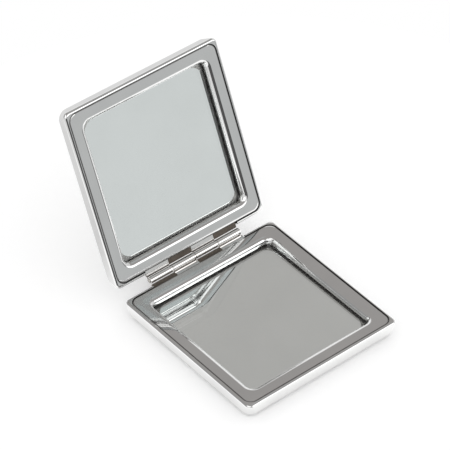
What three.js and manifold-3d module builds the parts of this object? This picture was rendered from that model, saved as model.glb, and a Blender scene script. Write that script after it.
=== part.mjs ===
// Square pocket mirror of polished sheet metal, standing open.
// Two equal halves are joined by a hinge. Each half is a pressed cover whose wall is hemmed
// over the flange of a pressed frame, with a mirror glass on bonding tape under the frame's
// window, and a hinge leaf with two knuckles rolled round the pin that both halves share.
// Millimetres, +Z up. The origin is the centre of the base's flat underside. The hinge runs
// along X on the +Y side.
import * as THREE from "three";
import { mergeVertices } from "three/addons/utils/BufferGeometryUtils.js";
import Module from "manifold-3d";

const wasm = await Module();
wasm.setup();

// Whole mirror
const halfHeight = 5.8; // underside of a half to the top of its frame
const lidAngle = THREE.MathUtils.degToRad(114); // lid at rest, turned up from closed
const seatGap = 0.1; // between pieces that seat on each other

// Frame: a flat border with a rounded inner edge that leads down to the glass
const frameWidth = 60;
const frameDepth = 61;
const frameSheet = 0.45;
const frameCorner = 3; // outer corner radius of the border
const borderWidth = 3.5; // flat part of the border
const beadRadius = 1.65; // rounded inner edge
const windowCorner = 2.2; // corner radius of the window
const frameEdgeBend = 0.4; // rounded outer edge

// Cover: a shallow tray with a hem turned in over the frame's flange
const coverSheet = 0.45;
const rimRise = 0.15; // hem above the frame's border
const rimGroove = 0.15; // between the hem and the border
const hemFlat = 0.2; // flat lip of the hem
const hemBend = 0.85; // between the lip and the wall
const hemCorner = 1.9; // corner radius where the hem turns into the wall
const backBend = 2.5; // between the wall and the flat back
const backCorner = 3.8; // corner radius where the wall meets that bend

// Mirror glass and the tape that bonds it to the cover
const glassThickness = 1.5;
const glassLap = 0.9; // glass hidden past the frame's window wall
const glassCorner = 1.5;
const glassChamfer = 0.2;
const tapeThickness = 1.3;
const tapeInset = 2; // tape stays this far inside the glass
const tapeCorner = 1;

// Hinge: four knuckles in turn, two from each half, on one pin
const knuckleCount = 4;
const knucklePitch = 9.5;
const knuckleGap = 0.2; // running gap between neighbours
const pinRadius = 0.75;
const pinClearance = 0.05;
const pinProud = 0.15; // pin past the outer knuckles
const pinChamfer = 0.15;
const leafSheet = 0.45;
const leafCorner = 0.6;
const leafClearance = 0.25; // plate's outer edge to the other half's knuckles
const hingeReach = 2.1; // cover's wall to the hinge axis
const rollEnd = THREE.MathUtils.degToRad(203); // where the rolled sheet stops
const notchClearance = 0.4; // round the hinge, in the cover and the frame
const overrun = 1; // of every cut past what it cuts

// Smoothness of the curved stretches
const cornerSteps = 6;
const bendSteps = 5;
const rollSteps = 12;
const pinSides = 24;

const quarterTurn = Math.PI / 2;

// Heights in a half, from its underside up
const frameUnderside = halfHeight - frameSheet;
const hemTop = halfHeight + rimRise;
const flangeTop = hemTop - hemBend;
const tapeBottom = coverSheet + seatGap;
const glassBottom = tapeBottom + tapeThickness + seatGap;
const glassTop = glassBottom + glassThickness;
const leafTop = frameUnderside - seatGap;
const leafBottom = leafTop - leafSheet;

// Places outwards of the frame's outer edge, so inwards is negative
const rimWidth = rimGroove + hemFlat + hemBend;
const windowOut = -borderWidth - beadRadius;
const glassOut = windowOut + frameSheet + glassLap;
const flangeOut = rimWidth - coverSheet - seatGap;

// Hinge, derived from the leaf that lies under the frame's border
const knuckleRadius = pinRadius + pinClearance + leafSheet;
const axisHeight = leafBottom + knuckleRadius;
const axisY = frameDepth / 2 + rimWidth + hingeReach;
const leafReach = Math.sqrt((knuckleRadius + leafClearance) ** 2 - (axisHeight - leafTop) ** 2);
const leafEdge = axisY - leafReach;
const barrelLength = knuckleCount * knucklePitch;
const notchLength = barrelLength + 2 * notchClearance;

const chrome = new THREE.MeshStandardMaterial({ color: 0xd6d8d9, roughness: 0.06, metalness: 1 });
const silvering = new THREE.MeshStandardMaterial({ color: 0xc6cccc, roughness: 0.02, metalness: 1 });
const tapeFoam = new THREE.MeshStandardMaterial({ color: 0xe9e7e0, roughness: 0.9, metalness: 0 });
const nickel = new THREE.MeshStandardMaterial({ color: 0xcdc8c0, roughness: 0.14, metalness: 1 });
const pinSteel = new THREE.MeshStandardMaterial({ color: 0xb4b1ab, roughness: 0.22, metalness: 1 });

// A place on the section through a pressed piece: how far out, how high, and the corner
// radius of the loop that runs round the half there.
function place(out, up, corner) {
  return { out, up, corner };
}

// The places along a bend of the section, round a centre, between two angles.
function bend(centreOut, centreUp, radius, fromAngle, toAngle, cornerAtCentre) {
  const places = [];
  for (let step = 0; step <= bendSteps; step++) {
    const angle = THREE.MathUtils.lerp(fromAngle, toAngle, step / bendSteps);
    const reach = radius * Math.cos(angle);
    places.push(place(centreOut + reach, centreUp + radius * Math.sin(angle), cornerAtCentre + reach));
  }
  return places;
}

// The loop of points round the half at one place of the section.
function loopAt({ out, up, corner }) {
  const centreX = frameWidth / 2 + out - corner;
  const centreY = frameDepth / 2 + out - corner;
  const quarters = [[1, 1], [-1, 1], [-1, -1], [1, -1]];
  return quarters.flatMap(([sideX, sideY], quarter) =>
    Array.from({ length: cornerSteps + 1 }, (_, step) => {
      const angle = (quarter + step / cornerSteps) * quarterTurn;
      const x = sideX * centreX + corner * Math.cos(angle);
      const y = sideY * centreY + corner * Math.sin(angle);
      return [x, y, up];
    }),
  );
}

// A closed surface through the loops at all places of a section. A ring's last loop joins
// its first; any other surface is closed by a flat face at each end.
function loft(places, isRing) {
  const loops = places.map(loopAt);
  const count = loops[0].length;
  const points = loops.flat();
  const faces = [];
  const bands = isRing ? loops.length : loops.length - 1;
  for (let band = 0; band < bands; band++) {
    const here = band * count;
    const next = ((band + 1) % loops.length) * count;
    for (let i = 0; i < count; i++) {
      const j = (i + 1) % count;
      faces.push(here + i, here + j, next + j, here + i, next + j, next + i);
    }
  }
  if (!isRing) {
    const last = (loops.length - 1) * count;
    for (let i = 1; i < count - 1; i++) {
      faces.push(0, i + 1, i);
      faces.push(last, last + i, last + i + 1);
    }
  }
  return new THREE.BufferGeometry()
    .setAttribute("position", new THREE.Float32BufferAttribute(points.flat(), 3))
    .setIndex(faces);
}

// Geometry to solid and back, for joins and cuts.
function solidOf(geometry) {
  const bare = geometry.clone();
  bare.deleteAttribute("normal");
  bare.deleteAttribute("uv");
  const merged = mergeVertices(bare);
  const vertProperties = new Float32Array(merged.attributes.position.array);
  const triVerts = new Uint32Array(merged.index.array);
  return new wasm.Manifold(new wasm.Mesh({ numProp: 3, vertProperties, triVerts }));
}

function geometryOf(solid) {
  const { vertProperties, triVerts } = solid.getMesh();
  const geometry = new THREE.BufferGeometry()
    .setAttribute("position", new THREE.BufferAttribute(vertProperties, 3))
    .setIndex(new THREE.BufferAttribute(triVerts, 1));
  geometry.computeVertexNormals();
  return geometry;
}

// A box between two corners.
function boxBetween(low, high) {
  const size = high.clone().sub(low);
  const centre = low.clone().add(high).multiplyScalar(0.5);
  return new THREE.BoxGeometry(size.x, size.y, size.z).translate(centre.x, centre.y, centre.z);
}

// The stretch of a half's hinge side that is cut away for the hinge.
function hingeNotch(fromOut, fromUp, toUp) {
  const low = new THREE.Vector3(-notchLength / 2, frameDepth / 2 + fromOut, fromUp);
  const high = new THREE.Vector3(notchLength / 2, frameDepth / 2 + rimWidth + overrun, toUp);
  return boxBetween(low, high);
}

// Cover: flat back, wall and hem are one sheet, open above inside the hem.
function coverGeometry() {
  const backCentre = rimWidth - backBend;
  const backCentreCorner = backCorner - backBend;
  const hemCentre = rimWidth - hemBend;
  const hemCentreUp = hemTop - hemBend;
  const hemCentreCorner = hemCorner - hemBend;
  const lipCorner = frameCorner + rimGroove;
  const section = [
    ...bend(backCentre, backBend, backBend, -quarterTurn, 0, backCentreCorner),
    ...bend(hemCentre, hemCentreUp, hemBend, 0, quarterTurn, hemCentreCorner),
    place(rimGroove, hemTop, lipCorner),
    place(rimGroove, hemTop - coverSheet, lipCorner),
    ...bend(hemCentre, hemCentreUp, hemBend - coverSheet, quarterTurn, 0, hemCentreCorner),
    ...bend(backCentre, backBend, backBend - coverSheet, 0, -quarterTurn, backCentreCorner),
  ];
  const notch = hingeNotch(-overrun, leafBottom - notchClearance, halfHeight + overrun);
  return geometryOf(solidOf(loft(section, false)).subtract(solidOf(notch)));
}

// Frame: border, rounded inner edge and window wall, with a step down to the hidden flange.
function frameGeometry() {
  const windowCentreCorner = windowCorner - windowOut - borderWidth;
  const edgeCentreUp = halfHeight - frameEdgeBend;
  const beadCentreUp = halfHeight - beadRadius;
  const windowFoot = glassTop + seatGap;
  const flangeBottom = flangeTop - frameSheet;
  const wallBack = windowOut + frameSheet;
  const section = [
    place(flangeOut, flangeBottom, frameCorner + flangeOut),
    place(flangeOut, flangeTop, frameCorner + flangeOut),
    place(0, flangeTop, frameCorner),
    ...bend(-frameEdgeBend, edgeCentreUp, frameEdgeBend, 0, quarterTurn, frameCorner - frameEdgeBend),
    ...bend(-borderWidth, beadCentreUp, beadRadius, quarterTurn, 2 * quarterTurn, windowCentreCorner),
    place(windowOut, windowFoot, windowCorner),
    place(wallBack, windowFoot, windowCorner + frameSheet),
    ...bend(-borderWidth, beadCentreUp, beadRadius - frameSheet, 2 * quarterTurn, quarterTurn, windowCentreCorner),
    place(-frameSheet, frameUnderside, frameCorner - frameSheet),
    place(-frameSheet, flangeBottom, frameCorner - frameSheet),
  ];
  const notch = hingeNotch(-frameSheet - seatGap, flangeBottom - overrun, frameUnderside);
  return geometryOf(solidOf(loft(section, true)).subtract(solidOf(notch)));
}

// Mirror glass: a plate with ground edges that reaches under the frame's window wall.
function glassGeometry() {
  const inner = glassOut - glassChamfer;
  const innerCorner = glassCorner - glassChamfer;
  return loft(
    [
      place(inner, glassBottom, innerCorner),
      place(glassOut, glassBottom + glassChamfer, glassCorner),
      place(glassOut, glassTop - glassChamfer, glassCorner),
      place(inner, glassTop, innerCorner),
    ],
    false,
  );
}

// Bonding tape between the glass and the back of the cover.
function tapeGeometry() {
  const out = glassOut - tapeInset;
  return loft(
    [place(out, tapeBottom, tapeCorner), place(out, tapeBottom + tapeThickness, tapeCorner)],
    false,
  );
}

// One knuckle with the tab that leads to it: the sheet runs out from under the border and
// rolls up round the pin until it nearly meets itself.
function knuckleGeometry(startX) {
  const outer = knuckleRadius;
  const inner = knuckleRadius - leafSheet;
  const tabStart = frameDepth / 2 - frameSheet - leafCorner;
  const section = new THREE.Shape()
    .moveTo(tabStart, leafBottom)
    .lineTo(axisY, leafBottom)
    .absarc(axisY, axisHeight, outer, -quarterTurn, rollEnd, false)
    .lineTo(axisY + inner * Math.cos(rollEnd), axisHeight + inner * Math.sin(rollEnd))
    .absarc(axisY, axisHeight, inner, rollEnd, -quarterTurn, true)
    .lineTo(tabStart, leafTop)
    .closePath();
  const depth = knucklePitch - knuckleGap;
  const alongX = new THREE.Matrix4().makeBasis(
    new THREE.Vector3(0, 1, 0),
    new THREE.Vector3(0, 0, 1),
    new THREE.Vector3(1, 0, 0),
  );
  return new THREE.ExtrudeGeometry(section, { depth, bevelEnabled: false, curveSegments: rollSteps })
    .applyMatrix4(alongX)
    .translate(startX + knuckleGap / 2, 0, 0);
}

// The flat plate of a leaf. It lies under the border, with round corners there, and runs out
// through the notch to just short of the other half's knuckles.
function leafPlateGeometry() {
  const halfLength = barrelLength / 2;
  const far = frameDepth / 2 - borderWidth + seatGap;
  const plate = new THREE.Shape()
    .moveTo(-halfLength, leafEdge)
    .lineTo(-halfLength, far + leafCorner)
    .absarc(-halfLength + leafCorner, far + leafCorner, leafCorner, 2 * quarterTurn, 3 * quarterTurn, false)
    .lineTo(halfLength - leafCorner, far)
    .absarc(halfLength - leafCorner, far + leafCorner, leafCorner, -quarterTurn, 0, false)
    .lineTo(halfLength, leafEdge)
    .closePath();
  return new THREE.ExtrudeGeometry(plate, {
    depth: leafSheet,
    bevelEnabled: false,
    curveSegments: bendSteps,
  }).translate(0, 0, leafBottom);
}

// Hinge leaf: the plate and every second knuckle. The other half's leaf fills the rest.
function leafGeometry() {
  let solid = solidOf(leafPlateGeometry());
  for (let knuckle = 1; knuckle < knuckleCount; knuckle += 2) {
    const startX = -barrelLength / 2 + knuckle * knucklePitch;
    solid = solid.add(solidOf(knuckleGeometry(startX)));
  }
  return geometryOf(solid);
}

// Pin: a plain rod with chamfered ends.
function pinGeometry() {
  const length = barrelLength + 2 * pinProud;
  const outline = [
    new THREE.Vector2(0, 0),
    new THREE.Vector2(pinRadius - pinChamfer, 0),
    new THREE.Vector2(pinRadius, pinChamfer),
    new THREE.Vector2(pinRadius, length - pinChamfer),
    new THREE.Vector2(pinRadius - pinChamfer, length),
    new THREE.Vector2(0, length),
  ];
  return new THREE.LatheGeometry(outline, pinSides)
    .translate(0, -length / 2, 0)
    .rotateZ(quarterTurn);
}

function named(name, geometry, material) {
  const mesh = new THREE.Mesh(geometry, material);
  mesh.name = name;
  return mesh;
}

// One half, lying on its back with the frame up and the hinge on its +Y side.
function half(name) {
  const group = new THREE.Group();
  group.add(
    named(`${name}_cover`, coverGeometry(), chrome),
    named(`${name}_frame`, frameGeometry(), chrome),
    named(`${name}_mirror_glass`, glassGeometry(), silvering),
    named(`${name}_mirror_tape`, tapeGeometry(), tapeFoam),
    named(`${name}_hinge_leaf`, leafGeometry(), nickel),
  );
  return group;
}

// The lid is the same half turned over onto the base, then swung open about the pin.
function swungLid() {
  const lid = half("lid");
  lid.rotation.y = Math.PI;
  lid.position.set(0, -axisY, axisHeight);
  const swing = new THREE.Group();
  swing.position.set(0, axisY, axisHeight);
  swing.rotation.x = -lidAngle;
  swing.add(lid);
  return swing;
}

function hingePin() {
  const pin = named("hinge_pin", pinGeometry(), pinSteel);
  pin.position.set(0, axisY, axisHeight);
  return pin;
}

const pocketMirror = new THREE.Group();
pocketMirror.add(half("base"), swungLid(), hingePin());

export default pocketMirror;
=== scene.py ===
# Looks of the square metal pocket mirror: polished pressed sheet, two mirrors, a rolled hinge.
# Sizes of the object are in millimetres and become metres where a mesh is made. The frame is the
# model's own: origin at the centre of the base's underside, +Z up, the hinge along X on the +Y side.
import math

import bpy
from mathutils import Matrix, Vector


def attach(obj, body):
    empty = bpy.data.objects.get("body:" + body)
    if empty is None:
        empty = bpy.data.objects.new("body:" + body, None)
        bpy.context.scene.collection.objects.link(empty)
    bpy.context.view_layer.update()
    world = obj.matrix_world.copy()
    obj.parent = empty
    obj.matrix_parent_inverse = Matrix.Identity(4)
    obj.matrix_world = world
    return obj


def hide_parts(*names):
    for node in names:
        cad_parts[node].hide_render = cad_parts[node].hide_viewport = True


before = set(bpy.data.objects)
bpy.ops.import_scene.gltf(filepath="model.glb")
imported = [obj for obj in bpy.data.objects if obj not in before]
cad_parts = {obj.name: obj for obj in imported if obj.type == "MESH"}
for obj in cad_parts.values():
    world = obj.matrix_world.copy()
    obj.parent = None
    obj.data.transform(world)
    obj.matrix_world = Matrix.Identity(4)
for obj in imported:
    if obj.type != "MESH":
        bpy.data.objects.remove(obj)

MM = 0.001
QUARTER_TURN = math.pi / 2
HALF_TURN = math.pi
FULL_TURN = 2 * math.pi
DEGREES_ROUND = 360

# Sizes of a half, in millimetres, as the solids have them
HALF_HEIGHT = 5.8
FRAME_WIDTH = 60
FRAME_DEPTH = 61
FRAME_SHEET = 0.45
FRAME_CORNER = 3
BORDER_WIDTH = 3.5
BEAD_RADIUS = 1.65
WINDOW_CORNER = 2.2
FRAME_EDGE_BEND = 0.4
COVER_SHEET = 0.45
RIM_RISE = 0.15
RIM_GROOVE = 0.15
HEM_FLAT = 0.2
HEM_BEND = 0.85
HEM_CORNER = 1.9
BACK_BEND = 2.5
BACK_CORNER = 3.8
SEAT_GAP = 0.1
GLASS_THICKNESS = 1.5
GLASS_LAP = 0.9
GLASS_CORNER = 1.5
GLASS_CHAMFER = 0.2
TAPE_THICKNESS = 1.3
KNUCKLE_COUNT = 4
KNUCKLE_PITCH = 9.5
PIN_RADIUS = 0.75
PIN_CLEARANCE = 0.05
PIN_PROUD = 0.15
PIN_CHAMFER = 0.15
KNUCKLE_GAP = 0.2
LEAF_SHEET = 0.45
LEAF_CLEARANCE = 0.25
ROLL_END = math.radians(203)
NOTCH_CLEARANCE = 0.4
OVERRUN = 1
HINGE_REACH = 2.1
LID_ANGLE = math.radians(114)

# Fine shapes that the solids leave out, in millimetres: the border's crown, the leaf's worn edges,
# and the silver, which stops short of the window wall and has rounder corners
BORDER_CROWN = 0.02
EDGE_WEAR = 0.05
# Past the silver the glass's back is painted dark, partly as painted shade along the window wall
SILVER_SHORT = 0.7
SILVER_CORNER = 4.5

# What the silver's normal leans by, as in a mirror that isn't glued down quite level
MIRROR_LEAN = (0, -0.0187, 0)

# Smoothness of the dense pieces
CORNER_STEPS = 14
BEND_STEPS = 8
SHARP_ANGLE = math.radians(35)
ROLL_STEPS = 40
PIN_SIDES = 40
PIN_END_STEPS = 5
BORDER_STEPS = 8
EDGE_WEAR_STEPS = 2
LARGE_FACES_LEAD = 100

# Corners of a half as seen from above, in turn: which way X and Y go
CORNER_SIDES = [(1, 1), (-1, 1), (-1, -1), (1, -1)]

# Which of a mesh's materials a face takes, where it isn't the first
BEHIND = 1
PAINT_AND_SHADE = 2

# Heights and places that follow from the sizes
FRAME_UNDERSIDE = HALF_HEIGHT - FRAME_SHEET
RIM_WIDTH = RIM_GROOVE + HEM_FLAT + HEM_BEND
HEM_TOP = HALF_HEIGHT + RIM_RISE
FLANGE_TOP = HEM_TOP - HEM_BEND
GLASS_BOTTOM = COVER_SHEET + TAPE_THICKNESS + 2 * SEAT_GAP
GLASS_TOP = GLASS_BOTTOM + GLASS_THICKNESS
LEAF_BOTTOM = FRAME_UNDERSIDE - SEAT_GAP - LEAF_SHEET
WINDOW_OUT = -BORDER_WIDTH - BEAD_RADIUS
GLASS_OUT = WINDOW_OUT + FRAME_SHEET + GLASS_LAP
FLANGE_OUT = RIM_WIDTH - COVER_SHEET - SEAT_GAP
AXIS_HEIGHT = LEAF_BOTTOM + LEAF_SHEET + PIN_CLEARANCE + PIN_RADIUS
AXIS_Y = FRAME_DEPTH / 2 + RIM_WIDTH + HINGE_REACH
BARREL_LENGTH = KNUCKLE_COUNT * KNUCKLE_PITCH
NOTCH_LENGTH = BARREL_LENGTH + 2 * NOTCH_CLEARANCE

# Colours of the materials, each from its darker to its lighter patches
CHROME = ((0.64, 0.64, 0.637), (0.68, 0.68, 0.675))
NICKEL = ((0.70, 0.69, 0.675), (0.78, 0.77, 0.76))
STEEL = ((0.40, 0.38, 0.36), (0.52, 0.50, 0.47))
SILVER = ((0.88, 0.895, 0.89), (0.91, 0.925, 0.92))
CLEAR_GLASS = ((0.975, 0.99, 0.985), (0.985, 1.0, 0.995))
# Paint past the silver: dark, partly as painted shade along the window wall
EDGE_PAINT_AND_SHADE = ((0.3, 0.297, 0.285), (0.45, 0.445, 0.43))
# The raw sheets are stained and unpolished, and their darkness inside the cover, in the groove and on the
# hinge's open strip is painted shade
RAW_SHEET_AND_SHADE = ((0.06, 0.05, 0.042), (0.18, 0.155, 0.13))
RAW_FRAME_SHEET_AND_SHADE = ((0.09, 0.087, 0.086), (0.22, 0.213, 0.21))
FOAM = ((0.62, 0.61, 0.56), (0.82, 0.81, 0.76))

# Roughness of the materials, from their glossier to their duller patches
COVER_GLOSS = (0.03, 0.08)
FRAME_GLOSS = (0.02, 0.06)
NICKEL_GLOSS = (0.03, 0.07)
STEEL_GLOSS = (0.15, 0.3)
SILVER_GLOSS = (0, 0.015)
GLASS_GLOSS = (0, 0.012)
PAINT_GLOSS = (0.3, 0.4)
RAW_GLOSS = (0.35, 0.55)
FOAM_ROUGHNESS = 0.9

# How metallic the raw sheet is, and the glass's index of refraction
RAW_METALLIC = 0.8
GLASS_INDEX = 1.5

# Noises in the materials: cells per metre, and levels of detail
SMEARS = (90, 3)
METAL_GRAIN = (1400, 4)
PRESS_RIPPLES = (160, 1)
SILVER_HAZE = (60, 4)
PAINT_GRAIN = (900, 4)
WIPING_MARKS = (45, 5)
STAINS = (300, 5)
FOAM_CELLS_PER_METRE = 3000

# The press ripples: their height in metres, and how strongly sheet and steel show them
RIPPLE_HEIGHT = 0.1 * MM
SHEET_RIPPLE = 0.02
STEEL_RIPPLE = 0.05

# The stretches of a noise, or of any value, that a colour or a roughness follows
WHOLE = (0, 1)
MIDDLE_OF_NOISE = (0.3, 0.7)
GRAIN_STRETCH = (0.35, 0.75)
HAZE_STRETCH = (0.3, 0.8)
MARKS_STRETCH = (0.4, 0.8)

# The photograph's camera: its fitted focal length is in pixels, its sensor in millimetres, and the
# rest in metres
IMAGE_PIXELS = 450
FOCAL_PIXELS = 3251.8
SENSOR_WIDTH = 36
CAMERA_AZIMUTH = math.radians(-39.48)
CAMERA_ELEVATION = math.radians(42.12)
CAMERA_DISTANCE = 1.0801
AIM = Vector((0.01753, 0.03922, 0.0058))
NEAREST_SEEN = 0.01
FARTHEST_SEEN = 20

# The studio, in metres
MIDDLE = Vector((0, 0.02, 0.02))
CARD_STEPS = 24
NEAR_CARDS = 1.4
MIDDLE_CARDS = 1.5
FAR_CARDS = 1.6
ROOM_LIGHT = 0.95
DIRECT_VIEWS = ["Is Camera Ray", "Is Glossy Ray", "Is Transmission Ray"]
VIEWS_IN_METAL = ["Is Glossy Ray", "Is Transmission Ray"]

# The floor, in metres: its glow, and the stretches of Y and of X of a painted shadow that darkens its
# reflection behind the object and ends far out to the left. In metal the floor glows with painted light,
# with painted shade close to the object
FLOOR_RADIUS = 0.16
FLOOR_SIDES = 96
FLOOR_COLOUR = (0.9, 0.9, 0.9)
FLOOR_ROUGHNESS = 0.9
FLOOR_LIFT = 0.2
PAINTED_FLOOR_GLOW_IN_METAL = (0.15, 0.65)
FLOOR_SHADE_REACH = 0.012
OPEN_SKY = (0.4, 0.9)
PAINTED_SHADOW_ALONG_Y = (0.035, 0.06)
PAINTED_SHADOW_ALONG_X = (-0.11, -0.07)
GLOW_LEFT_IN_PAINTED_SHADOW = 0.2


# Shapes

def bend(centre_out, centre_up, radius, from_angle, to_angle, corner_at_centre):
    """Places (out, up, corner) along a bend of the section, from one angle to another."""
    places = []
    for step in range(BEND_STEPS + 1):
        angle = from_angle + (to_angle - from_angle) * step / BEND_STEPS
        reach = radius * math.cos(angle)
        places.append((centre_out + reach, centre_up + radius * math.sin(angle), corner_at_centre + reach))
    return places


def loop_at(place):
    """The loop of points round a half at one place of the section, in metres."""
    out, up, corner = place
    centre_x = FRAME_WIDTH / 2 + out - corner
    centre_y = FRAME_DEPTH / 2 + out - corner
    points = []
    for quarter, (side_x, side_y) in enumerate(CORNER_SIDES):
        for step in range(CORNER_STEPS + 1):
            angle = (quarter + step / CORNER_STEPS) * QUARTER_TURN
            x = side_x * centre_x + corner * math.cos(angle)
            y = side_y * centre_y + corner * math.sin(angle)
            points.append(Vector((x, y, up)) * MM)
    return points


def loft(name, places, is_ring, bands_behind=()):
    """A closed mesh through the loops at all places of a section. The bands behind, and a flat
    inner end with them, take the second material."""
    loops = [loop_at(place) for place in places]
    count = len(loops[0])
    faces = []
    bands = len(loops) if is_ring else len(loops) - 1
    for band in range(bands):
        here = band * count
        there = (band + 1) % len(loops) * count
        for i in range(count):
            j = (i + 1) % count
            faces.append((here + i, here + j, there + j, there + i))
    if not is_ring:
        last = (len(loops) - 1) * count
        faces.append(tuple(reversed(range(count))))
        faces.append(tuple(range(last, last + count)))
    mesh = bpy.data.meshes.new(name)
    mesh.from_pydata([point for loop in loops for point in loop], [], faces)
    if bands_behind:
        for face in mesh.polygons:
            is_inner_end = not is_ring and face.index == len(faces) - 1
            if face.index // count in bands_behind or is_inner_end:
                face.material_index = BEHIND
    return mesh


def combine(mesh, other, operation):
    """The mesh with the other one cut away from it or joined to it."""
    body = bpy.data.objects.new("body", mesh)
    tool = bpy.data.objects.new("tool", other)
    for holder in (body, tool):
        bpy.context.scene.collection.objects.link(holder)
    step = body.modifiers.new("combine", "BOOLEAN")
    step.object = tool
    step.operation = operation
    step.solver = "EXACT"
    bpy.context.view_layer.update()
    evaluated = body.evaluated_get(bpy.context.evaluated_depsgraph_get())
    result = bpy.data.meshes.new_from_object(evaluated)
    for holder in (body, tool):
        bpy.data.objects.remove(holder)
    return result


def prism(name, section, from_x, to_x):
    """A closed mesh: a section of (y, z) points run along X."""
    count = len(section)
    points = [Vector((x, y, z)) * MM for x in (from_x, to_x) for y, z in section]
    sides = [(i, (i + 1) % count, count + (i + 1) % count, count + i) for i in range(count)]
    ends = [tuple(reversed(range(count))), tuple(range(count, 2 * count))]
    mesh = bpy.data.meshes.new(name)
    mesh.from_pydata(points, [], sides + ends)
    return mesh


def cut_notch(mesh, from_out, from_up, to_up):
    """The mesh with the hinge's stretch of its +Y side cut away."""
    near = FRAME_DEPTH / 2 + from_out
    far = FRAME_DEPTH / 2 + RIM_WIDTH + OVERRUN
    section = [(near, from_up), (far, from_up), (far, to_up), (near, to_up)]
    return combine(mesh, prism("notch", section, -NOTCH_LENGTH / 2, NOTCH_LENGTH / 2), "DIFFERENCE")


def cover_mesh():
    """Flat back, wall and hem of one sheet. Its inside takes the second material, the raw sheet, whose
    darkness there is partly painted shade.
    """
    back_centre = RIM_WIDTH - BACK_BEND
    back_corner = BACK_CORNER - BACK_BEND
    hem_centre = RIM_WIDTH - HEM_BEND
    hem_corner = HEM_CORNER - HEM_BEND
    hem_up = HEM_TOP - HEM_BEND
    lip_corner = FRAME_CORNER + RIM_GROOVE
    outside = (
        bend(back_centre, BACK_BEND, BACK_BEND, -QUARTER_TURN, 0, back_corner)
        + bend(hem_centre, hem_up, HEM_BEND, 0, QUARTER_TURN, hem_corner)
        + [(RIM_GROOVE, HEM_TOP, lip_corner), (RIM_GROOVE, HEM_TOP - COVER_SHEET, lip_corner)]
    )
    inside = (
        bend(hem_centre, hem_up, HEM_BEND - COVER_SHEET, QUARTER_TURN, 0, hem_corner)
        + bend(back_centre, BACK_BEND, BACK_BEND - COVER_SHEET, 0, -QUARTER_TURN, back_corner)
    )
    first_hidden = len(outside) - 1
    mesh = loft("cover", outside + inside, False, range(first_hidden, first_hidden + len(inside)))
    return cut_notch(mesh, -OVERRUN, LEAF_BOTTOM - NOTCH_CLEARANCE, HALF_HEIGHT + OVERRUN)


def border_places(edge_corner, bead_corner):
    """The flat border, crowned a little by the press, between its outer and its inner bend."""
    places = []
    for step in range(1, BORDER_STEPS):
        share = step / BORDER_STEPS
        out = -FRAME_EDGE_BEND + (FRAME_EDGE_BEND - BORDER_WIDTH) * share
        crown = BORDER_CROWN * (4 * share * (1 - share) - 1)
        corner = edge_corner + (bead_corner - edge_corner) * share
        places.append((out, HALF_HEIGHT + crown, corner))
    return places


def frame_mesh():
    """Border, rounded inner edge and window wall, with a step down to the hidden flange. Its underside and
    its edge in the groove take the second material, the raw sheet, whose darkness in the groove is painted
    shade."""
    bead_corner = WINDOW_CORNER - WINDOW_OUT - BORDER_WIDTH
    edge_corner = FRAME_CORNER - FRAME_EDGE_BEND
    edge_up = HALF_HEIGHT - FRAME_EDGE_BEND - BORDER_CROWN
    bead_up = HALF_HEIGHT - BEAD_RADIUS - BORDER_CROWN
    window_foot = GLASS_TOP + SEAT_GAP
    wall_back = WINDOW_OUT + FRAME_SHEET
    flange_bottom = FLANGE_TOP - FRAME_SHEET
    flange_corner = FRAME_CORNER + FLANGE_OUT
    step_back_corner = FRAME_CORNER - FRAME_SHEET
    in_groove = [
        (FLANGE_OUT, flange_bottom, flange_corner),
        (FLANGE_OUT, FLANGE_TOP, flange_corner),
        (0, FLANGE_TOP, FRAME_CORNER),
    ] + bend(-FRAME_EDGE_BEND, edge_up, FRAME_EDGE_BEND, 0, QUARTER_TURN, edge_corner)
    shown = (
        border_places(edge_corner, bead_corner)
        + bend(-BORDER_WIDTH, bead_up, BEAD_RADIUS, QUARTER_TURN, HALF_TURN, bead_corner)
        + [(WINDOW_OUT, window_foot, WINDOW_CORNER), (wall_back, window_foot, WINDOW_CORNER + FRAME_SHEET)]
    )
    bead_back = BEAD_RADIUS - FRAME_SHEET
    hidden = bend(-BORDER_WIDTH, bead_up, bead_back, HALF_TURN, QUARTER_TURN, bead_corner) + [
        (-FRAME_SHEET, FRAME_UNDERSIDE, step_back_corner),
        (-FRAME_SHEET, flange_bottom, step_back_corner),
    ]
    places = in_groove + shown + hidden
    first_hidden = len(in_groove) + len(shown) - 1
    bands_behind = [*range(len(in_groove) - 1), *range(first_hidden, len(places))]
    mesh = loft("frame", places, True, bands_behind)
    return cut_notch(mesh, -FRAME_SHEET - SEAT_GAP, flange_bottom - OVERRUN, FRAME_UNDERSIDE)


def glass_mesh():
    """Clear plate. The end of its underside is silvered, and the band round that is painted dark, partly as
    painted shade along the window wall.
    """
    inner = GLASS_OUT - GLASS_CHAMFER
    inner_corner = GLASS_CORNER - GLASS_CHAMFER
    places = [
        (WINDOW_OUT - SILVER_SHORT, GLASS_BOTTOM, SILVER_CORNER),
        (inner, GLASS_BOTTOM, inner_corner),
        (GLASS_OUT, GLASS_BOTTOM + GLASS_CHAMFER, GLASS_CORNER),
        (GLASS_OUT, GLASS_TOP - GLASS_CHAMFER, GLASS_CORNER),
        (inner, GLASS_TOP, inner_corner),
    ]
    mesh = loft("glass", places, False)
    *bands, underside, _top = mesh.polygons
    underside.material_index = BEHIND
    faces_in_band = len(bands) // (len(places) - 1)
    for face in bands[:faces_in_band]:
        face.material_index = PAINT_AND_SHADE
    return mesh


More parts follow.
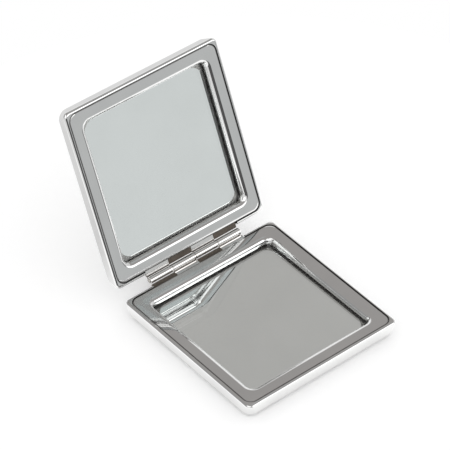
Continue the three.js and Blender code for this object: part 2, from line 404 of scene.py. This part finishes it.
def knuckle_section():
    """Sheet that runs out from the plate and rolls up round the pin."""
    inner = PIN_RADIUS + PIN_CLEARANCE
    outer = inner + LEAF_SHEET
    turn = ROLL_END + QUARTER_TURN
    angles = [-QUARTER_TURN + turn * step / ROLL_STEPS for step in range(ROLL_STEPS + 1)]
    rolled = [(AXIS_Y + outer * math.cos(a), AXIS_HEIGHT + outer * math.sin(a)) for a in angles]
    back = [(AXIS_Y + inner * math.cos(a), AXIS_HEIGHT + inner * math.sin(a)) for a in reversed(angles)]
    start = FRAME_DEPTH / 2 - FRAME_SHEET - LEAF_SHEET
    return [(start, LEAF_BOTTOM)] + rolled + back + [(start, LEAF_BOTTOM + LEAF_SHEET)]


def leaf_mesh():
    """Plate that runs from under the border to just short of the other half's knuckles, and every second
    knuckle. The open strip of the plate takes the second material, the raw sheet, as painted shade in the
    gap beside the knuckles."""
    half_length = BARREL_LENGTH / 2
    top = LEAF_BOTTOM + LEAF_SHEET
    clear_radius = PIN_RADIUS + PIN_CLEARANCE + LEAF_SHEET + LEAF_CLEARANCE
    edge = AXIS_Y - math.sqrt(clear_radius ** 2 - (AXIS_HEIGHT - top) ** 2)
    middle = FRAME_DEPTH / 2 - FRAME_SHEET
    far = FRAME_DEPTH / 2 - BORDER_WIDTH + SEAT_GAP
    open_strip = [(middle, LEAF_BOTTOM), (edge, LEAF_BOTTOM), (edge, top), (middle, top)]
    mesh = prism("strip", open_strip, -half_length, half_length)
    for face in mesh.polygons:
        face.material_index = BEHIND
    plate = [(far, LEAF_BOTTOM), (middle, LEAF_BOTTOM), (middle, top), (far, top)]
    mesh = combine(prism("leaf", plate, -half_length, half_length), mesh, "UNION")
    for knuckle in range(1, KNUCKLE_COUNT, 2):
        from_x = -half_length + knuckle * KNUCKLE_PITCH + KNUCKLE_GAP / 2
        rolled = prism("knuckle", knuckle_section(), from_x, from_x + KNUCKLE_PITCH - KNUCKLE_GAP)
        mesh = combine(rolled, mesh, "UNION")
    return mesh


def pin_mesh():
    """Rod with domed ends, along X."""
    half_length = BARREL_LENGTH / 2 + PIN_PROUD
    dome = []
    for step in range(PIN_END_STEPS + 1):
        angle = QUARTER_TURN * step / PIN_END_STEPS
        x = half_length - PIN_CHAMFER * (1 - math.cos(angle))
        dome.append((x, PIN_RADIUS - PIN_CHAMFER * (1 - math.sin(angle))))
    profile = dome + [(-x, radius) for x, radius in reversed(dome)]
    points = []
    for x, radius in profile:
        for side in range(PIN_SIDES):
            angle = FULL_TURN * side / PIN_SIDES
            y = AXIS_Y + radius * math.cos(angle)
            z = AXIS_HEIGHT + radius * math.sin(angle)
            points.append(Vector((x, y, z)) * MM)
    faces = [tuple(range(PIN_SIDES))]
    for ring in range(len(profile) - 1):
        here = ring * PIN_SIDES
        there = here + PIN_SIDES
        for side in range(PIN_SIDES):
            after = (side + 1) % PIN_SIDES
            faces.append((here + after, here + side, there + side, there + after))
    last = (len(profile) - 1) * PIN_SIDES
    faces.append(tuple(reversed(range(last, last + PIN_SIDES))))
    mesh = bpy.data.meshes.new("pin")
    mesh.from_pydata(points, [], faces)
    return mesh


def lid_matrix():
    """From a half lying open side up to the lid's place at rest."""
    to_hinge = Matrix.Translation(Vector((0, -AXIS_Y, AXIS_HEIGHT)) * MM)
    turn_over = Matrix.Rotation(HALF_TURN, 4, "Y")
    swing = Matrix.Rotation(-LID_ANGLE, 4, "X")
    to_place = Matrix.Translation(Vector((0, AXIS_Y, AXIS_HEIGHT)) * MM)
    return to_place @ swing @ to_hinge @ turn_over


# Materials

def new_material(name):
    """A material and its nodes, links and main shader."""
    material = bpy.data.materials.new(name)
    material.use_nodes = True
    nodes = material.node_tree.nodes
    return material, nodes, material.node_tree.links, nodes["Principled BSDF"]


def object_place(nodes):
    """Where on the object a point is."""
    return nodes.new("ShaderNodeTexCoord").outputs["Object"]


def noise(nodes, links, cells_and_detail):
    """Noise over the object."""
    texture = nodes.new("ShaderNodeTexNoise")
    cells, detail = cells_and_detail
    texture.inputs["Scale"].default_value = cells
    texture.inputs["Detail"].default_value = detail
    links.new(object_place(nodes), texture.inputs["Vector"])
    return texture.outputs["Fac"]


def ranged(nodes, links, value, stretch, to_stretch):
    """The value within one stretch, moved to within another."""
    node = nodes.new("ShaderNodeMapRange")
    for name, number in zip(("From Min", "From Max", "To Min", "To Max"), (*stretch, *to_stretch)):
        node.inputs[name].default_value = number
    links.new(value, node.inputs["Value"])
    return node.outputs["Result"]


def mixed_colour(nodes, links, value, colours):
    """From the first colour to the second as a noise goes through its middle."""
    mix = nodes.new("ShaderNodeMix")
    mix.data_type = "RGBA"
    ends = [socket for socket in mix.inputs if socket.type == "RGBA"]
    for socket, colour in zip(ends, colours):
        socket.default_value = (*colour, 1)
    links.new(ranged(nodes, links, value, MIDDLE_OF_NOISE, WHOLE), mix.inputs["Factor"])
    return next(socket for socket in mix.outputs if socket.type == "RGBA")


def ramp_colour(nodes, links, value, colours):
    """From the first colour to the second as a value goes from 0 to 1."""
    ramp = nodes.new("ShaderNodeValToRGB")
    for element, colour in zip(ramp.color_ramp.elements, colours):
        element.color = (*colour, 1)
    links.new(value, ramp.inputs["Fac"])
    return ramp.outputs["Color"]


def polished_metal(name, colours, gloss, ripple):
    """Bright plated sheet: faint smears in colour and gloss, and a slight ripple from the press."""
    material, nodes, links, shader = new_material(name)
    smears = noise(nodes, links, SMEARS)
    links.new(mixed_colour(nodes, links, smears, colours), shader.inputs["Base Color"])
    grain = noise(nodes, links, METAL_GRAIN)
    links.new(ranged(nodes, links, grain, GRAIN_STRETCH, gloss), shader.inputs["Roughness"])
    bump = nodes.new("ShaderNodeBump")
    bump.inputs["Strength"].default_value = ripple
    bump.inputs["Distance"].default_value = RIPPLE_HEIGHT
    links.new(noise(nodes, links, PRESS_RIPPLES), bump.inputs["Height"])
    links.new(bump.outputs["Normal"], shader.inputs["Normal"])
    shader.inputs["Metallic"].default_value = 1
    return material


def leaning_normal(nodes, links):
    """The surface's normal, leaned by the mirror's lean."""
    lean = nodes.new("ShaderNodeVectorTransform")
    lean.vector_type = "VECTOR"
    lean.convert_from = "OBJECT"
    lean.convert_to = "WORLD"
    lean.inputs["Vector"].default_value = MIRROR_LEAN
    leaned = nodes.new("ShaderNodeVectorMath")
    leaned.operation = "ADD"
    links.new(nodes.new("ShaderNodeNewGeometry").outputs["Normal"], leaned.inputs[0])
    links.new(lean.outputs["Vector"], leaned.inputs[1])
    unit = nodes.new("ShaderNodeVectorMath")
    unit.operation = "NORMALIZE"
    links.new(leaned.outputs["Vector"], unit.inputs[0])
    return unit.outputs["Vector"]


def silver_material():
    """The mirror's silver, behind the glass."""
    material, nodes, links, shader = new_material("silver")
    haze = noise(nodes, links, SILVER_HAZE)
    links.new(mixed_colour(nodes, links, haze, SILVER), shader.inputs["Base Color"])
    links.new(ranged(nodes, links, haze, HAZE_STRETCH, SILVER_GLOSS), shader.inputs["Roughness"])
    links.new(leaning_normal(nodes, links), shader.inputs["Normal"])
    shader.inputs["Metallic"].default_value = 1
    return material


def edge_paint_and_shade():
    """Dark paint on the back of the glass, past the silver, which is partly painted shade for the dark band
    along the window wall.
    """
    material, nodes, links, shader = new_material("edge_paint_and_shade")
    grain = noise(nodes, links, PAINT_GRAIN)
    links.new(ramp_colour(nodes, links, grain, EDGE_PAINT_AND_SHADE), shader.inputs["Base Color"])
    links.new(ranged(nodes, links, grain, MIDDLE_OF_NOISE, PAINT_GLOSS), shader.inputs["Roughness"])
    shader.inputs["Metallic"].default_value = 1
    return material


def glass_material():
    """Clear glass with a trace of dust and wiping marks."""
    material, nodes, links, shader = new_material("clear_glass")
    marks = noise(nodes, links, WIPING_MARKS)
    links.new(mixed_colour(nodes, links, marks, CLEAR_GLASS), shader.inputs["Base Color"])
    links.new(ranged(nodes, links, marks, MARKS_STRETCH, GLASS_GLOSS), shader.inputs["Roughness"])
    shader.inputs["Transmission Weight"].default_value = 1
    shader.inputs["IOR"].default_value = GLASS_INDEX
    return material


def raw_metal_and_shade(name, colours):
    """Inside and cut edges of the pressed sheet: stained, dull and unpolished, and darker still as painted
    shade inside the cover, in the groove and on the hinge's open strip.
    """
    material, nodes, links, shader = new_material(name)
    stains = noise(nodes, links, STAINS)
    links.new(ramp_colour(nodes, links, stains, colours), shader.inputs["Base Color"])
    links.new(ranged(nodes, links, stains, MIDDLE_OF_NOISE, RAW_GLOSS), shader.inputs["Roughness"])
    shader.inputs["Metallic"].default_value = RAW_METALLIC
    return material


def tape_material():
    """White foam tape with fine open cells."""
    material, nodes, links, shader = new_material("foam_tape")
    cells = nodes.new("ShaderNodeTexVoronoi")
    cells.inputs["Scale"].default_value = FOAM_CELLS_PER_METRE
    links.new(object_place(nodes), cells.inputs["Vector"])
    links.new(ramp_colour(nodes, links, cells.outputs["Distance"], FOAM), shader.inputs["Base Color"])
    shader.inputs["Roughness"].default_value = FOAM_ROUGHNESS
    return material


# Pieces

def smooth(mesh):
    """Bends shade smoothly, flats stay flat, and edges stay crisp."""
    mesh.shade_smooth()
    mesh.set_sharp_from_angle(angle=SHARP_ANGLE)


def add_piece(name, mesh, materials, body, node):
    """A piece that rides on a body and stands for the solid of one node."""
    for material in materials:
        mesh.materials.append(material)
    smooth(mesh)
    piece = bpy.data.objects.new(name, mesh)
    bpy.context.scene.collection.objects.link(piece)
    weighted = piece.modifiers.new("flat_faces_lead", "WEIGHTED_NORMAL")
    weighted.mode = "FACE_AREA"
    weighted.weight = LARGE_FACES_LEAD
    weighted.keep_sharp = True
    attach(piece, body)
    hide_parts(node)
    return piece


def wear_edges(piece):
    """A small round on the edges of the rolled leaf, made before its normals are weighted."""
    bevel = piece.modifiers.new("worn_edges", "BEVEL")
    bevel.width = EDGE_WEAR * MM
    bevel.segments = EDGE_WEAR_STEPS
    bevel.limit_method = "ANGLE"
    bevel.angle_limit = SHARP_ANGLE
    piece.modifiers.move(len(piece.modifiers) - 1, 0)


def kinds_in_a_half():
    """What both halves have: for each kind its mesh, materials and slot."""
    raw_and_shade = raw_metal_and_shade("raw_sheet_and_shade", RAW_SHEET_AND_SHADE)
    raw_frame_and_shade = raw_metal_and_shade("raw_frame_sheet_and_shade", RAW_FRAME_SHEET_AND_SHADE)
    cover_chrome = polished_metal("cover_chrome", CHROME, COVER_GLOSS, SHEET_RIPPLE)
    frame_chrome = polished_metal("frame_chrome", CHROME, FRAME_GLOSS, SHEET_RIPPLE)
    nickel = polished_metal("hinge_nickel", NICKEL, NICKEL_GLOSS, SHEET_RIPPLE)
    return {
        "cover": (cover_mesh(), [cover_chrome, raw_and_shade], "cover_chrome"),
        "frame": (frame_mesh(), [frame_chrome, raw_frame_and_shade], "frame_chrome"),
        "mirror_glass": (glass_mesh(), [glass_material(), silver_material(), edge_paint_and_shade()], "mirror_glass"),
        "hinge_leaf": (leaf_mesh(), [nickel, raw_and_shade], "hinge_nickel"),
    }


def add_halves():
    """Covers, frames, mirrors and hinge leaves of the base and the lid."""
    kinds = kinds_in_a_half()
    for body, place in (("base", Matrix.Identity(4)), ("lid", lid_matrix())):
        for kind, (source, materials, slot) in kinds.items():
            mesh = source.copy()
            mesh.transform(place)
            piece = add_piece(f"{body}_{kind}_fine", mesh, materials, body, f"{body}_{kind}")
            if kind == "hinge_leaf":
                wear_edges(piece)


def add_pin():
    steel = polished_metal("pin_steel", STEEL, STEEL_GLOSS, STEEL_RIPPLE)
    add_piece("hinge_pin_fine", pin_mesh(), [steel], "base", "hinge_pin")


def dress_tapes():
    """The tapes' solids are fine enough, so they only get the finer material."""
    tape = tape_material()
    for body in ("base", "lid"):
        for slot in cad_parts[f"{body}_mirror_tape"].material_slots:
            slot.material = tape


# Studio

def combined(nodes, links, operation, first, second):
    """Two values worked into one."""
    node = nodes.new("ShaderNodeMath")
    node.operation = operation
    links.new(first, node.inputs[0])
    links.new(second, node.inputs[1])
    return node.outputs[0]


def any_of(nodes, links, ray_kinds):
    """1 where any of the named kinds of ray looks, else 0."""
    path = nodes.new("ShaderNodeLightPath")
    total = path.outputs[ray_kinds[0]]
    for kind in ray_kinds[1:]:
        total = combined(nodes, links, "MAXIMUM", total, path.outputs[kind])
    return total


def make_world():
    """White behind everything that looks at it directly, and a soft even light on the rest."""
    world = bpy.data.worlds.new("studio")
    bpy.context.scene.world = world
    world.use_nodes = True
    nodes = world.node_tree.nodes
    links = world.node_tree.links
    light = nodes["Background"]
    light.inputs["Color"].default_value = (1, 1, 1, 1)
    light.inputs["Strength"].default_value = ROOM_LIGHT
    white = nodes.new("ShaderNodeBackground")
    white.inputs["Color"].default_value = (1, 1, 1, 1)
    white.inputs["Strength"].default_value = 1
    mix = nodes.new("ShaderNodeMixShader")
    links.new(any_of(nodes, links, DIRECT_VIEWS), mix.inputs["Fac"])
    links.new(light.outputs["Background"], mix.inputs[1])
    links.new(white.outputs["Background"], mix.inputs[2])
    links.new(mix.outputs["Shader"], nodes["World Output"].inputs["Surface"])


def painted_floor_glow(nodes, links):
    """How much the floor glows in reflections, a painted light: painted shade close to the object, and a
    painted shadow behind it, except far out to the left."""
    sky = nodes.new("ShaderNodeAmbientOcclusion")
    sky.inputs["Distance"].default_value = FLOOR_SHADE_REACH
    glow_with_painted_shade = ranged(nodes, links, sky.outputs["AO"], OPEN_SKY, PAINTED_FLOOR_GLOW_IN_METAL)
    place = nodes.new("ShaderNodeSeparateXYZ")
    links.new(object_place(nodes), place.inputs[0])
    behind = ranged(nodes, links, place.outputs["Y"], PAINTED_SHADOW_ALONG_Y, WHOLE)
    beside = ranged(nodes, links, place.outputs["X"], PAINTED_SHADOW_ALONG_X, WHOLE)
    painted_shadow = combined(nodes, links, "MULTIPLY", behind, beside)
    glow_left_by_painted_shadow = ranged(nodes, links, painted_shadow, WHOLE, (1, GLOW_LEFT_IN_PAINTED_SHADOW))
    return combined(nodes, links, "MULTIPLY", glow_with_painted_shade, glow_left_by_painted_shadow)


def make_floor():
    """Plain pale sheet that keeps the object's soft shadow."""
    mesh = bpy.data.meshes.new("floor")
    rim = [direction(DEGREES_ROUND * step / FLOOR_SIDES, 0) * FLOOR_RADIUS for step in range(FLOOR_SIDES)]
    mesh.from_pydata(rim, [], [tuple(range(FLOOR_SIDES))])
    material, nodes, links, shader = new_material("floor")
    shader.inputs["Base Color"].default_value = (*FLOOR_COLOUR, 1)
    shader.inputs["Roughness"].default_value = FLOOR_ROUGHNESS
    shader.inputs["Specular IOR Level"].default_value = 0
    # In reflections the floor glows with painted light, with painted shade near the object and a painted
    # shadow behind it
    seen_in_metal = any_of(nodes, links, VIEWS_IN_METAL)
    painted_glow_in_metal = combined(nodes, links, "MULTIPLY", painted_floor_glow(nodes, links), seen_in_metal)
    seen = any_of(nodes, links, ["Is Camera Ray"])
    to_camera = ranged(nodes, links, seen, WHOLE, (0, FLOOR_LIFT))
    glow = nodes.new("ShaderNodeEmission")
    glow.inputs["Color"].default_value = (1, 1, 1, 1)
    links.new(combined(nodes, links, "ADD", to_camera, painted_glow_in_metal), glow.inputs["Strength"])
    both = nodes.new("ShaderNodeAddShader")
    links.new(shader.outputs["BSDF"], both.inputs[0])
    links.new(glow.outputs["Emission"], both.inputs[1])
    links.new(both.outputs["Shader"], nodes["Material Output"].inputs["Surface"])
    mesh.materials.append(material)
    floor = bpy.data.objects.new("floor", mesh)
    bpy.context.scene.collection.objects.link(floor)


def direction(azimuth, elevation):
    """Unit vector: azimuth in degrees from +X towards +Y, elevation above the horizon."""
    turn = math.radians(azimuth)
    rise = math.radians(elevation)
    return Vector((math.cos(turn) * math.cos(rise), math.sin(turn) * math.cos(rise), math.sin(rise)))


def card_mesh(name, azimuths, elevations, radius):
    """A patch of a sphere round the object."""
    points = []
    for row in range(CARD_STEPS + 1):
        elevation = elevations[0] + (elevations[1] - elevations[0]) * row / CARD_STEPS
        for column in range(CARD_STEPS + 1):
            azimuth = azimuths[0] + (azimuths[1] - azimuths[0]) * column / CARD_STEPS
            points.append(MIDDLE + direction(azimuth, elevation) * radius)
    in_row = CARD_STEPS + 1
    faces = []
    for row in range(CARD_STEPS):
        for column in range(CARD_STEPS):
            i = row * in_row + column
            faces.append((i, i + 1, i + in_row + 1, i + in_row))
    mesh = bpy.data.meshes.new(name)
    mesh.from_pydata(points, [], faces)
    return mesh


def make_card(name, azimuths, elevations, radius, colour):
    """A curved studio card round the object, which only reflections see."""
    mesh = card_mesh(name, azimuths, elevations, radius)
    material, nodes, links, shader = new_material(name)
    nodes.remove(shader)
    glow = nodes.new("ShaderNodeEmission")
    glow.inputs["Color"].default_value = (*colour, 1)
    glow.inputs["Strength"].default_value = 1
    links.new(glow.outputs["Emission"], nodes["Material Output"].inputs["Surface"])
    mesh.materials.append(material)
    card = bpy.data.objects.new(name, mesh)
    card.visible_camera = False
    card.visible_diffuse = False
    card.visible_shadow = False
    bpy.context.scene.collection.objects.link(card)


def grey(level):
    return (level, level, level)


# Grey ceiling, white softboxes and dark flags: name, azimuths, elevations, distance and colour
CARDS = [
    ("ceiling", (-180, 180), (37, 90), FAR_CARDS, (0.452, 0.438, 0.428)),
    ("overhead_softbox", (140, 206), (50, 75), NEAR_CARDS, grey(1.5)),
    ("overhead_strip", (12, 40), (54, 66), NEAR_CARDS, (0.53, 0.56, 0.565)),
    ("left_softbox", (178, 206), (26, 50), NEAR_CARDS, grey(1.5)),
    ("back_left_wall", (92, 178), (4, 37), NEAR_CARDS, grey(0.4)),
    ("right_wall", (-70, -51), (-12, 8), NEAR_CARDS, (0.665, 0.68, 0.68)),
    ("right_wall_shade", (-51, -40), (-9, 8), NEAR_CARDS, grey(0.15)),
    ("front_softbox", (-75, -40), (8, 40), NEAR_CARDS, grey(2.2)),
    ("camera_side", (-130, -70), (-8, 13), NEAR_CARDS, grey(0.12)),
    ("camera_softbox", (-152, -108), (26, 58), MIDDLE_CARDS, grey(2.2)),
    ("back_right_low", (15, 85), (-3, 5), NEAR_CARDS, grey(0.98)),
    ("back_right_softbox", (15, 85), (5, 24), NEAR_CARDS, grey(1.35)),
]


def make_camera():
    """The camera that took the photograph, as fitted to the edges of both halves."""
    data = bpy.data.cameras.new("photograph")
    data.sensor_width = SENSOR_WIDTH
    data.lens = FOCAL_PIXELS / IMAGE_PIXELS * SENSOR_WIDTH
    data.clip_start = NEAREST_SEEN
    data.clip_end = FARTHEST_SEEN
    camera = bpy.data.objects.new("photograph", data)
    bpy.context.scene.collection.objects.link(camera)
    level = math.cos(CAMERA_ELEVATION)
    back_x = math.sin(CAMERA_AZIMUTH) * level
    back_y = -math.cos(CAMERA_AZIMUTH) * level
    back = Vector((back_x, back_y, math.sin(CAMERA_ELEVATION)))
    camera.location = AIM + back * CAMERA_DISTANCE
    camera.rotation_euler = back.to_track_quat("Z", "Y").to_euler()
    bpy.context.scene.camera = camera


def main():
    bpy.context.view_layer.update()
    add_halves()
    add_pin()
    dress_tapes()
    make_world()
    make_floor()
    for card in CARDS:
        make_card(*card)
    make_camera()
    bpy.context.scene.view_settings.view_transform = "Standard"


main()
